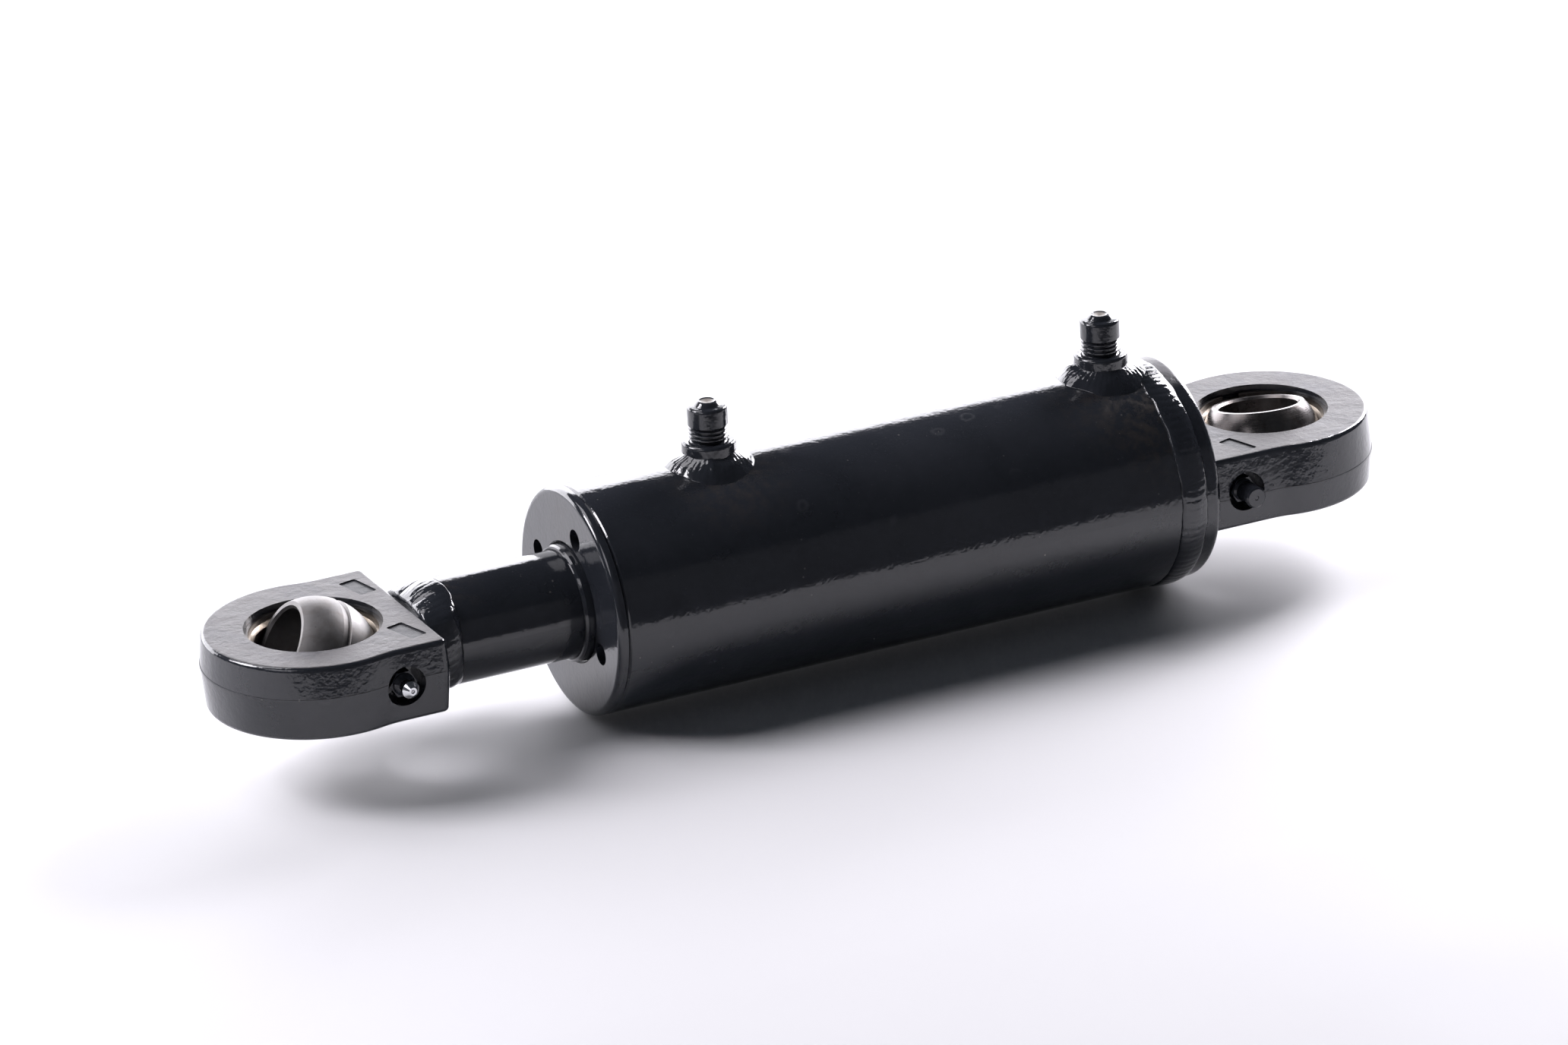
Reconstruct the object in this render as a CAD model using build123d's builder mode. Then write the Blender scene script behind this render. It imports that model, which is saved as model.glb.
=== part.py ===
"""Double-acting hydraulic cylinder, 70 bore x 40 rod, with a spherical plain
bearing in each eye.  Millimetres.

Frame: the origin is the centre of the base-eye pin bore.  +X runs along the
cylinder axis to the rod eye, +Z runs along the eye bores and out of the two
oil ports, and the two grease nipples point to +Y.  Rest pose: rod fully in.
"""
from build123d import *
import os
from math import sqrt

os.makedirs("parts", exist_ok=True)

# ---------------------------------------------------------------- dimensions
PIN_TO_PIN = 387.0          # rod fully in
STROKE = 115.0

BORE_R = 35.0               # barrel bore 70
BARREL_R = 42.5             # barrel outside 85
ROD_R = 20.0                # rod 40

EYE_R = 41.2                # eye outside at the parting line
EYE_T = 28.0                # eye thickness
EYE_HALF_W = 39.2           # straight flanks, at the parting line
EYE_DRAFT = 5.0             # forging draft of the flanks, degrees
EYE_EDGE = 1.8              # rounding of the eye outline
BLEND_R = 34.0              # blend between flank and nose
FLASH_T = 0.7               # trimmed flash along the parting line
FLASH_OUT = 0.15
BASE_PARTING_Z = -2.0       # height of the parting line on each eye
ROD_PARTING_Z = 2.0
HOUSING_R = 25.0            # bearing seat 50

BALL_R = 23.0               # spherical surface of the inner ring, 46
BALL_B = 30.0               # inner ring width
PIN_R = 15.0                # pin bore 30
RACE_C = 20.0               # outer ring width
RACE_GAP = 0.05             # running gap, radial

CAP_X = 40.0                # back face of the end cap
CAP_LAND_X = 47.0           # cap rim ends, weld preparation starts
ROOT_X = 52.0               # barrel tube starts
TOE_X = 57.5                # weld preparation on the barrel ends
SPIGOT_X = 60.0             # floor of the oil chamber

GLAND_FACE_X = 287.0
FLANGE_X = 283.0            # back of the gland flange = end of the barrel
THREAD_X = 258.0            # gland thread in the barrel mouth
THREAD_R = 37.0
GLAND_NOSE_X = 238.0
GLAND_END_X = 222.0
NOSE_R = 28.0
SPANNER_PCR = 27.8
SPANNER_R = 4.1
SPANNER_ANGLES = (-24.0, 74.0, 156.0)
WIPER_OPEN_R = 22.3

NUT_X = 61.0
PISTON_X0 = 74.0
PISTON_X1 = 106.0
PISTON_R = 34.7
SPIGOT_R = 15.0
STUD_R = 12.0

ROD_BLOCK_X = 350.6         # square back of the rod eye
ROD_WELD_X = 338.0          # toe of the weld on the rod

HEAD_PORT_X = 228.5
BASE_PORT_X = 67.3
BOSS_R = 10.0
BOSS_TOP = 51.0
PORT_R = 7.0                # M14 x 1.5 thread, as a plain bore
PORT_DRILL_R = 4.0
PLUG_R = 7.4
PLUG_TOP = 64.3

ROD_NIPPLE_X = 368.7
BASE_NIPPLE_X = 28.4
RECESS_R = 7.5
SEAT_Y = 32.0               # floor of the nipple recess

BASE_TILT = (-0.021, -0.198, 0.980)     # axis of the base inner ring at rest
ROD_TILT = (0.867, -0.099, 0.489)       # axis of the rod inner ring at rest


def put(part, name):
    part.label = name
    export_step(part, "parts/%s.step" % name)


# Revolved profiles are drawn in the XY plane as (x, radius) and turned about X.

# ---------------------------------------------------------------- the two eyes
# Bearing seat with two snap-ring grooves, shared by both eyes.
def seat_tool(x0):
    with BuildPart() as tool:
        with BuildSketch(Plane.XZ):
            with BuildLine():
                Polyline((x0, -EYE_T), (x0 + HOUSING_R, -EYE_T),
                         (x0 + HOUSING_R, -11.6), (x0 + 26.2, -11.6),
                         (x0 + 26.2, -10.0), (x0 + HOUSING_R, -10.0),
                         (x0 + HOUSING_R, 10.0), (x0 + 26.2, 10.0),
                         (x0 + 26.2, 11.6), (x0 + HOUSING_R, 11.6),
                         (x0 + HOUSING_R, EYE_T), (x0, EYE_T), close=True)
            make_face()
        revolve(axis=Axis((x0, 0, 0), (0, 0, 1)))
    return tool.part


def eye_outline(x0, xb, grow=0.0):
    """Round nose about x0, straight flanks, square back at xb."""
    r, h = EYE_R + grow, EYE_HALF_W + grow
    s = 1 if xb > x0 else -1
    a = sqrt(r ** 2 - h ** 2)
    # the nose runs from one flank to the other around the far side
    with BuildLine() as outline:
        Line((xb, s * h), (x0 + s * a, s * h))
        ThreePointArc((x0 + s * a, s * h), (x0 - s * r, 0),
                      (x0 + s * a, -s * h))
        Line((x0 + s * a, -s * h), (xb, -s * h))
        Line((xb, -s * h), (xb, s * h))
    return outline.line


def forged_block(x0, xb, z_part, corner=0.0):
    """Eye blank: draft above and below the parting line, trimmed flash on it."""
    layers = [(Plane.XY.offset(z_part - FLASH_T / 2), FLASH_OUT, FLASH_T, 0.0)]
    for up in (1, -1):
        layers.append((Plane(origin=(0, 0, z_part), x_dir=(1, 0, 0),
                             z_dir=(0, 0, up)),
                       0.0, EYE_T / 2 - up * z_part, EYE_DRAFT))
    with BuildPart() as blank:
        for plane, grow, height, draft in layers:
            with BuildSketch(plane) as outline:
                add(make_face(eye_outline(x0, xb, grow).edges()))
                # blend the straight flanks into the nose
                fillet([v for v in outline.vertices()
                        if abs(v.X - x0) < EYE_R / 2], BLEND_R)
                if corner:
                    fillet([v for v in outline.vertices()
                            if abs(v.X - xb) < 0.1], corner)
            extrude(amount=height, taper=draft)
    return blank.part


def stamp(x, y, length, width, angle):
    """Blank stamped panel, 0.5 deep."""
    with BuildPart() as tool:
        with BuildSketch(Plane.XY.offset(EYE_T / 2 - 0.5)):
            with Locations(Location((x, y, 0), (0, 0, angle))):
                RectangleRounded(length, width, 0.8)
        extrude(amount=2.0)
    return tool.part


# Base end: end cap, spigot and eye are one forging.
with BuildPart() as base_end_eye:
    add(forged_block(0.0, CAP_X + 4.5, BASE_PARTING_Z))
    rim = base_end_eye.edges().filter_by(
        lambda e: abs(abs(e.center().Z) - EYE_T / 2) < 0.1
        and e.center().X < CAP_X)
    fillet(rim, EYE_EDGE)
    with BuildSketch(Plane.XY):
        with BuildLine():
            Polyline((CAP_X, 0), (CAP_X, 38.8))
            RadiusArc((CAP_X, 38.8), (CAP_X + 3.2, 42.0), 3.2)
            Polyline((CAP_X + 3.2, 42.0), (CAP_LAND_X, 42.0),
                     (ROOT_X, BORE_R + 0.6), (ROOT_X, BORE_R - 0.03),
                     (SPIGOT_X - 1.0, BORE_R - 0.03),
                     (SPIGOT_X, BORE_R - 1.0), (SPIGOT_X, 0), (CAP_X, 0))
        make_face()
    revolve(axis=Axis.X)
    add(seat_tool(0.0), mode=Mode.SUBTRACT)
    add(stamp(25.2, 27.0, 14.0, 6.0, 108.0), mode=Mode.SUBTRACT)
    # nipple recess, thread and slanted grease drilling
    with Locations(Plane.XZ.offset(-(EYE_HALF_W + 1.0))):
        with Locations((BASE_NIPPLE_X, 0, 0)):
            Cylinder(RECESS_R, EYE_HALF_W + 1.0 - SEAT_Y,
                     align=(Align.CENTER, Align.CENTER, Align.MIN),
                     mode=Mode.SUBTRACT)
            Cylinder(4.0, EYE_HALF_W + 7.0 - SEAT_Y,
                     align=(Align.CENTER, Align.CENTER, Align.MIN),
                     mode=Mode.SUBTRACT)
    with Locations(Plane((BASE_NIPPLE_X, 27.0, 0), z_dir=(-8.4, -13.5, 0))):
        Cylinder(1.5, 17.0, align=(Align.CENTER, Align.CENTER, Align.MIN),
                 mode=Mode.SUBTRACT)
    # relief for the oil coming in under the piston nut
    with BuildSketch(Plane.YZ.offset(SPIGOT_X)):
        Circle(12.0)
    extrude(amount=-2.0, mode=Mode.SUBTRACT)
put(base_end_eye.part, "base_end_eye")

# Rod eye: D-shaped forged block with a square back.
with BuildPart() as rod_eye:
    add(forged_block(PIN_TO_PIN, ROD_BLOCK_X, ROD_PARTING_Z, 3.6))
    rim = rod_eye.edges().filter_by(
        lambda e: abs(abs(e.center().Z) - EYE_T / 2) < 0.1)
    fillet(rim, EYE_EDGE)
    # flat seat for the rod end on the drafted back of the block
    with BuildSketch(Plane.YZ.offset(ROD_BLOCK_X)):
        Circle(16.4)
        Rectangle(60.0, 25.0, mode=Mode.INTERSECT)
    extrude(amount=6.0)
    add(seat_tool(PIN_TO_PIN), mode=Mode.SUBTRACT)
    add(stamp(359.6, -23.0, 14.0, 7.0, 102.0), mode=Mode.SUBTRACT)
    add(stamp(360.8, 23.0, 14.5, 7.0, 106.0), mode=Mode.SUBTRACT)
    with Locations(Plane.XZ.offset(-(EYE_HALF_W + 1.0))):
        with Locations((ROD_NIPPLE_X, 0, 0)):
            Cylinder(RECESS_R, EYE_HALF_W + 1.0 - SEAT_Y,
                     align=(Align.CENTER, Align.CENTER, Align.MIN),
                     mode=Mode.SUBTRACT)
            Cylinder(4.0, EYE_HALF_W + 7.0 - SEAT_Y,
                     align=(Align.CENTER, Align.CENTER, Align.MIN),
                     mode=Mode.SUBTRACT)
            Cylinder(1.5, 25.2,
                     align=(Align.CENTER, Align.CENTER, Align.MIN),
                     mode=Mode.SUBTRACT)
put(rod_eye.part, "rod_eye")

# ---------------------------------------------------------------- barrel tube
with BuildPart() as barrel_tube:
    with BuildSketch(Plane.XY):
        with BuildLine():
            Polyline((ROOT_X, BORE_R), (ROOT_X, BORE_R + 0.6),
                     (TOE_X, BARREL_R), (FLANGE_X - 0.9, BARREL_R),
                     (FLANGE_X, BARREL_R - 0.9), (FLANGE_X, THREAD_R + 0.8),
                     (FLANGE_X - 0.8, THREAD_R), (THREAD_X, THREAD_R),
                     (THREAD_X - 2.0, BORE_R), close=True)
        make_face()
    revolve(axis=Axis.X)
    for px in (HEAD_PORT_X, BASE_PORT_X):
        with Locations((px, 0, 30.0)):
            Cylinder(6.0, 20.0, align=(Align.CENTER, Align.CENTER, Align.MIN),
                     mode=Mode.SUBTRACT)
put(barrel_tube.part, "barrel_tube")

# Weld between the end cap and the barrel, slightly proud of both.
with BuildPart() as end_cap_weld:
    with BuildSketch(Plane.XY):
        with BuildLine():
            Polyline((ROOT_X, BORE_R + 0.6), (CAP_LAND_X, 42.0))
            ThreePointArc((CAP_LAND_X, 42.0), (52.2, 43.7),
                          (TOE_X, BARREL_R))
            Line((TOE_X, BARREL_R), (ROOT_X, BORE_R + 0.6))
        make_face()
    revolve(axis=Axis.X)
put(end_cap_weld.part, "end_cap_weld")


# ---------------------------------------------------------------- oil ports
def port_boss(px):
    with BuildPart() as boss:
        with Locations((px, 0, 36.0)):
            Cylinder(BOSS_R, BOSS_TOP - 36.0,
                     align=(Align.CENTER, Align.CENTER, Align.MIN))
        top = boss.edges().sort_by(Axis.Z)[-1]
        fillet(top, 1.2)
        with Locations(Plane.YZ):
            Cylinder(BARREL_R, 800.0, mode=Mode.SUBTRACT)
        with Locations((px, 0, 37.6)):
            Cylinder(5.97, 8.0, align=(Align.CENTER, Align.CENTER, Align.MIN))
        with Locations((px, 0, 30.0)):
            Cylinder(PORT_DRILL_R, 30.0,
                     align=(Align.CENTER, Align.CENTER, Align.MIN),
                     mode=Mode.SUBTRACT)
        with Locations((px, 0, 43.2)):
            Cylinder(PORT_R, 12.0,
                     align=(Align.CENTER, Align.CENTER, Align.MIN),
                     mode=Mode.SUBTRACT)
        with Locations((px, 0, BOSS_TOP - 0.8)):
            Cone(PORT_R, PORT_R + 0.8, 0.8,
                 align=(Align.CENTER, Align.CENTER, Align.MIN),
                 mode=Mode.SUBTRACT)
    return boss.part


def port_weld(px, keep_clear=None):
    with BuildPart() as bead:
        with BuildSketch(Plane.XY.offset(38.0)):
            with Locations((px, 0)):
                Ellipse(23.8, 18.3)
        with BuildSketch(Plane.XY.offset(47.0)):
            with Locations((px, 0)):
                Circle(BOSS_R + 0.1)
        loft()
        with Locations(Plane.YZ):
            Cylinder(BARREL_R, 800.0, mode=Mode.SUBTRACT)
        with Locations((px, 0, 30.0)):
            Cylinder(BOSS_R, 40.0,
                     align=(Align.CENTER, Align.CENTER, Align.MIN),
                     mode=Mode.SUBTRACT)
        if keep_clear is not None:
            add(keep_clear, mode=Mode.SUBTRACT)
            with Locations((CAP_LAND_X + 0.5, 0, 45.0)):
                Box(60.0, 80.0, 40.0,
                    align=(Align.MAX, Align.CENTER, Align.CENTER),
                    mode=Mode.SUBTRACT)
    return bead.part


def port_plug(px):
    """Screwed-in transport plug: shank, three bare threads, round grip, nose."""
    with BuildPart() as plug:
        z = 43.6
        pts = [(0, z), (6.0, z), (6.9, z + 0.9), (6.9, 50.6), (6.35, 50.9),
               (6.35, 51.6)]
        for k in range(3):
            z0 = 51.8 + 1.6 * k
            pts += [(6.45, z0), (7.25, z0 + 0.55), (7.25, z0 + 0.9),
                    (6.45, z0 + 1.45)]
        pts += [(6.6, 56.75), (PLUG_R, 57.1), (PLUG_R, PLUG_TOP - 1.2)]
        with BuildSketch(Plane.XZ.shift_origin((px, 0, 0))):
            with BuildLine():
                Polyline(*pts)
                RadiusArc((PLUG_R, PLUG_TOP - 1.2), (PLUG_R - 1.2, PLUG_TOP),
                          -1.2)
                Polyline((PLUG_R - 1.2, PLUG_TOP), (4.9, PLUG_TOP + 0.15),
                         (3.7, PLUG_TOP + 1.5), (3.0, PLUG_TOP + 1.7),
                         (2.4, PLUG_TOP + 1.5), (0, PLUG_TOP + 0.9), (0, z))
            make_face()
        revolve(axis=Axis((px, 0, 0), (0, 0, 1)))
    return plug.part


put(port_boss(HEAD_PORT_X), "head_port_boss")
put(port_boss(BASE_PORT_X), "base_port_boss")
put(port_weld(HEAD_PORT_X), "head_port_weld")
put(port_weld(BASE_PORT_X, end_cap_weld.part), "base_port_weld")
put(port_plug(HEAD_PORT_X), "head_port_plug")
put(port_plug(BASE_PORT_X), "base_port_plug")

# ---------------------------------------------------------------- gland
with BuildPart() as head_gland:
    with BuildSketch(Plane.XY):
        with BuildLine():
            Polyline((GLAND_END_X, 20.3), (GLAND_END_X, NOSE_R - 1.0),
                     (GLAND_END_X + 1.0, NOSE_R), (GLAND_NOSE_X, NOSE_R),
                     (GLAND_NOSE_X, BORE_R - 1.5),
                     (GLAND_NOSE_X + 1.5, BORE_R - 0.03),
                     (243.0, BORE_R - 0.03), (243.0, 31.4), (249.5, 31.4),
                     (249.5, BORE_R - 0.03), (THREAD_X - 2.0, BORE_R - 0.03),
                     (THREAD_X, THREAD_R - 0.03),
                     (FLANGE_X, THREAD_R - 0.03), (FLANGE_X, 42.0),
                     (FLANGE_X + 0.5, BARREL_R),
                     (GLAND_FACE_X - 2.2, BARREL_R))
            RadiusArc((GLAND_FACE_X - 2.2, BARREL_R),
                      (GLAND_FACE_X, BARREL_R - 2.2), 2.2)
            Polyline((GLAND_FACE_X, BARREL_R - 2.2),
                     (GLAND_FACE_X, WIPER_OPEN_R + 0.5),
                     (GLAND_FACE_X - 0.5, WIPER_OPEN_R),
                     (FLANGE_X + 0.5, WIPER_OPEN_R), (FLANGE_X + 0.5, 23.6),
                     (277.5, 23.6), (277.5, 20.3),
                     (271.0, 20.3), (271.0, 22.5), (265.0, 22.5),
                     (265.0, 20.3),
                     (259.5, 20.3), (259.5, 25.0), (251.0, 25.0),
                     (251.0, 20.3), (237.0, 20.3), (237.0, 22.5),
                     (227.0, 22.5), (227.0, 20.3), (GLAND_END_X, 20.3))
        make_face()
    revolve(axis=Axis.X)
    with BuildSketch(Plane.YZ.offset(GLAND_FACE_X)):
        for angle in SPANNER_ANGLES:
            with PolarLocations(SPANNER_PCR, 1, start_angle=angle):
                Circle(SPANNER_R)
    extrude(amount=-7.0, mode=Mode.SUBTRACT)
put(head_gland.part, "head_gland")


def ring(points):
    with BuildPart() as r:
        with BuildSketch(Plane.XY):
            with BuildLine():
                Polyline(*points, close=True)
            make_face()
        revolve(axis=Axis.X)
    return r.part


def o_ring(xc, rc, section):
    with BuildPart() as r:
        with BuildSketch(Plane.XY):
            with Locations((xc, rc)):
                Circle(section)
        revolve(axis=Axis.X)
    return r.part


# Wiper: body held in the gland, lip standing out in front of it.
put(ring([(277.55, 20.05), (277.55, 23.55), (283.4, 23.55), (283.4, 21.9),
          (289.4, 21.7), (290.3, 21.2), (290.5, 20.6), (290.2, 20.05),
          (288.9, 20.05), (286.8, 20.6), (283.0, 20.6), (282.0, 20.05)]),
    "wiper_seal")
# Rod seal: U cup, open towards the oil.
put(ring([(251.1, 20.05), (251.1, 21.1), (255.0, 22.0), (255.0, 23.0),
          (251.1, 23.9), (251.1, 24.95), (259.4, 24.95), (259.4, 20.05)]),
    "rod_seal")
put(ring([(227.1, 20.03), (227.1, 22.45), (236.9, 22.45), (236.9, 20.03)]),
    "rod_guide_ring_inner")
put(ring([(265.1, 20.03), (265.1, 22.45), (270.9, 22.45), (270.9, 20.03)]),
    "rod_guide_ring_outer")
put(o_ring(244.9, 33.17, 1.76), "gland_o_ring")
put(ring([(247.0, 31.45), (247.0, 34.95), (249.4, 34.95), (249.4, 31.45)]),
    "gland_backup_ring")

# ---------------------------------------------------------------- rod train
with BuildPart() as piston_rod:
    with BuildSketch(Plane.XY):
        with BuildLine():
            Polyline((62.0, 0), (62.0, STUD_R - 1.2), (63.2, STUD_R),
                     (PISTON_X0 - 1.2, STUD_R), (PISTON_X0 - 1.2, STUD_R - 0.9),
                     (PISTON_X0, STUD_R - 0.9), (PISTON_X0, SPIGOT_R - 0.6),
                     (PISTON_X0 + 0.6, SPIGOT_R), (PISTON_X1, SPIGOT_R),
                     (PISTON_X1, ROD_R - 1.5), (PISTON_X1 + 3.0, ROD_R),
                     (ROD_WELD_X, ROD_R), (ROD_BLOCK_X, 11.5),
                     (ROD_BLOCK_X, 0), close=True)
        make_face()
    revolve(axis=Axis.X)
put(piston_rod.part, "piston_rod")

# Weld filling the tapered end of the rod against the square back of the eye.
with BuildPart() as rod_eye_weld:
    with BuildSketch(Plane.XY):
        with BuildLine():
            Line((ROD_BLOCK_X, 11.5), (ROD_WELD_X, ROD_R))
            Spline((ROD_WELD_X, ROD_R), (341.0, 20.5), (345.0, 19.7),
                   (348.5, 18.0), (ROD_BLOCK_X, 16.6))
            Line((ROD_BLOCK_X, 16.6), (ROD_BLOCK_X, 11.5))
        make_face()
    revolve(axis=Axis.X)
put(rod_eye_weld.part, "rod_eye_weld")

with BuildPart() as piston:
    with BuildSketch(Plane.XY):
        with BuildLine():
            Polyline((PISTON_X0, SPIGOT_R), (PISTON_X0, PISTON_R - 1.5),
                     (PISTON_X0 + 1.5, PISTON_R), (77.0, PISTON_R),
                     (77.0, 32.5), (82.0, 32.5), (82.0, PISTON_R),
                     (84.0, PISTON_R), (84.0, 27.6), (96.0, 27.6),
                     (96.0, PISTON_R), (98.0, PISTON_R), (98.0, 32.5),
                     (103.0, 32.5), (103.0, PISTON_R),
                     (PISTON_X1 - 1.5, PISTON_R), (PISTON_X1, PISTON_R - 1.5),
                     (PISTON_X1, SPIGOT_R), (92.0, SPIGOT_R), (92.0, 17.9),
                     (88.0, 17.9), (88.0, SPIGOT_R), close=True)
        make_face()
    revolve(axis=Axis.X)
put(piston.part, "piston")

put(ring([(84.1, 27.65), (84.1, 33.2), (86.6, 34.96), (88.6, 34.96),
          (89.2, 34.3), (90.8, 34.3), (91.4, 34.96), (93.4, 34.96),
          (95.9, 33.2), (95.9, 27.65)]), "piston_seal")
with BuildPart() as piston_guides:
    with BuildSketch(Plane.XY):
        for gx in (77.1, 98.1):
            with Locations((gx, 32.55)):
                Rectangle(4.8, 34.97 - 32.55, align=(Align.MIN, Align.MIN))
    revolve(axis=Axis.X)
put(piston_guides.part, "piston_guide_rings")
put(o_ring(90.0, 16.43, 1.42), "piston_o_ring")

with BuildPart() as piston_nut:
    with BuildSketch(Plane.YZ.offset(NUT_X)):
        RegularPolygon(18.0, 6, major_radius=False)
        Circle(STUD_R + 0.02, mode=Mode.SUBTRACT)
    extrude(amount=PISTON_X0 - NUT_X)
    with BuildSketch(Plane.XY):
        with BuildLine():
            Polyline((NUT_X - 1, 18.0), (NUT_X, 18.0), (NUT_X + 1.9, 21.4),
                     (NUT_X + 1.9, 30.0), (NUT_X - 1, 30.0), close=True)
        make_face()
    revolve(axis=Axis.X, mode=Mode.SUBTRACT)
put(piston_nut.part, "piston_nut")


# ---------------------------------------------------------------- bearings
def outer_ring(x0):
    """Split outer ring: grease groove outside, sphere inside, rounded mouths."""
    rs = BALL_R + RACE_GAP
    with BuildPart() as r:
        with BuildSketch(Plane.XZ):
            with BuildLine():
                Polyline((x0 + 22.6, -10.0), (x0 + HOUSING_R - 0.6, -10.0),
                         (x0 + HOUSING_R - 0.01, -9.4),
                         (x0 + HOUSING_R - 0.01, -2.0),
                         (x0 + HOUSING_R - 0.6, -2.0),
                         (x0 + HOUSING_R - 0.6, 2.0),
                         (x0 + HOUSING_R - 0.01, 2.0),
                         (x0 + HOUSING_R - 0.01, 9.4),
                         (x0 + HOUSING_R - 0.6, 10.0), (x0 + 22.6, 10.0),
                         (x0 + sqrt(rs ** 2 - 8.6 ** 2), 8.6))
                ThreePointArc((x0 + sqrt(rs ** 2 - 8.6 ** 2), 8.6),
                              (x0 + rs, 0),
                              (x0 + sqrt(rs ** 2 - 8.6 ** 2), -8.6))
                Line((x0 + sqrt(rs ** 2 - 8.6 ** 2), -8.6),
                     (x0 + 22.6, -10.0))
            make_face()
        revolve(axis=Axis((x0, 0, 0), (0, 0, 1)))
        with Locations((x0, -24.0, 0)):
            Box(0.4, 6.0, 24.0, mode=Mode.SUBTRACT)
        with Locations(Plane.XZ.shift_origin((x0, 0, 0))):
            Cylinder(1.2, 60.0, mode=Mode.SUBTRACT)
    return r.part


def inner_ring(x0, axis):
    """Ball with a pin bore, a grease groove round its middle and oil holes."""
    frame = Plane(origin=(x0, 0, 0), z_dir=axis)
    a = sqrt(BALL_R ** 2 - (BALL_B / 2) ** 2)
    g = 1.6
    c = 0.9
    with BuildPart() as ball:
        with BuildSketch(Plane.XZ):
            with BuildLine():
                Polyline((PIN_R, -BALL_B / 2 + c), (PIN_R + c, -BALL_B / 2),
                         (a, -BALL_B / 2))
                ThreePointArc((a, -BALL_B / 2),
                              (sqrt(BALL_R ** 2 - 8.5 ** 2), -8.5),
                              (sqrt(BALL_R ** 2 - g ** 2), -g))
                Polyline((sqrt(BALL_R ** 2 - g ** 2), -g),
                         (BALL_R - 1.0, -g + 0.5), (BALL_R - 1.0, g - 0.5),
                         (sqrt(BALL_R ** 2 - g ** 2), g))
                ThreePointArc((sqrt(BALL_R ** 2 - g ** 2), g),
                              (sqrt(BALL_R ** 2 - 8.5 ** 2), 8.5),
                              (a, BALL_B / 2))
                Polyline((a, BALL_B / 2), (PIN_R + c, BALL_B / 2),
                         (PIN_R, BALL_B / 2 - c), (PIN_R, -BALL_B / 2 + c))
            make_face()
        revolve(axis=Axis.Z)
        with Locations(Plane.XZ.rotated((0, 0, 0))):
            Cylinder(1.0, 60.0, mode=Mode.SUBTRACT)
    return ball.part.moved(Location(frame))


def snap_rings(x0):
    with BuildPart() as r:
        with BuildSketch(Plane.XZ):
            for z0 in (10.05, -11.55):
                with Locations((x0 + 23.5, z0)):
                    Rectangle(2.6, 1.5, align=(Align.MIN, Align.MIN))
        revolve(axis=Axis((x0, 0, 0), (0, 0, 1)))
        with Locations((x0, -26.0, 0)):
            Box(7.0, 10.0, 40.0, mode=Mode.SUBTRACT)
    return r.part


put(outer_ring(0.0), "base_bearing_outer_ring")
put(outer_ring(PIN_TO_PIN), "rod_bearing_outer_ring")
put(inner_ring(0.0, BASE_TILT), "base_bearing_inner_ring")
put(inner_ring(PIN_TO_PIN, ROD_TILT), "rod_bearing_inner_ring")
put(snap_rings(0.0), "base_snap_rings")
put(snap_rings(PIN_TO_PIN), "rod_snap_rings")

# ---------------------------------------------------------------- nipples
TIP_Y = SEAT_Y + 12.6


def nipple(px):
    """Straight grease nipple M8 x 1: thread, hexagon, neck and head."""
    with BuildPart() as n:
        with BuildSketch(Plane.XY.shift_origin((px, 0, 0))):
            with BuildLine():
                Polyline((0, SEAT_Y - 5.6), (3.4, SEAT_Y - 5.6),
                         (3.97, SEAT_Y - 5.0), (3.97, SEAT_Y), (4.2, SEAT_Y),
                         (4.2, SEAT_Y + 4.8), (2.5, SEAT_Y + 6.2),
                         (2.3, SEAT_Y + 8.0), (3.25, SEAT_Y + 9.2),
                         (3.25, SEAT_Y + 10.6), (1.5, TIP_Y), (0, TIP_Y),
                         close=True)
            make_face()
        revolve(axis=Axis((px, 0, 0), (0, 1, 0)))
        with BuildSketch(Plane((px, SEAT_Y, 0), x_dir=(1, 0, 0),
                               z_dir=(0, -1, 0))):
            RegularPolygon(4.5, 6, major_radius=False)
        extrude(amount=-4.4)
        # grease way: narrow inlet, ball seat, chamber, outlet
        with BuildSketch(Plane.XY.shift_origin((px, 0, 0))):
            with BuildLine():
                Polyline((0, TIP_Y + 1.0), (0.75, TIP_Y + 1.0),
                         (0.75, TIP_Y - 0.5), (1.15, TIP_Y - 1.1),
                         (1.15, SEAT_Y - 3.6), (0.7, SEAT_Y - 3.6),
                         (0.7, SEAT_Y - 7.0), (0, SEAT_Y - 7.0), close=True)
            make_face()
        revolve(axis=Axis((px, 0, 0), (0, 1, 0)), mode=Mode.SUBTRACT)
    return n.part


def check_ball(px):
    with BuildPart() as b:
        with Locations((px, TIP_Y - 1.22, 0)):
            Sphere(1.0)
    return b.part


put(nipple(BASE_NIPPLE_X), "base_grease_nipple")
put(nipple(ROD_NIPPLE_X), "rod_grease_nipple")
put(check_ball(BASE_NIPPLE_X), "base_nipple_check_ball")
put(check_ball(ROD_NIPPLE_X), "rod_nipple_check_ball")

# Protective cap pushed over the base nipple.
with BuildPart() as nipple_cap:
    with BuildSketch(Plane.XY.shift_origin((BASE_NIPPLE_X, 0, 0))):
        with BuildLine():
            Polyline((3.3, SEAT_Y + 6.4), (3.9, SEAT_Y + 6.2),
                     (4.0, SEAT_Y + 6.4), (4.0, TIP_Y + 1.4),
                     (3.4, TIP_Y + 2.0), (0.9, TIP_Y + 2.0),
                     (0.7, TIP_Y + 1.7), (0, TIP_Y + 1.7),
                     (0, TIP_Y + 0.3), (1.7, TIP_Y + 0.3),
                     (3.3, TIP_Y - 1.6), close=True)
        make_face()
    revolve(axis=Axis((BASE_NIPPLE_X, 0, 0), (0, 1, 0)))
put(nipple_cap.part, "base_nipple_cap")
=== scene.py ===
"""Looks of the hydraulic cylinder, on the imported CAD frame.  Metres."""
import math

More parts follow.
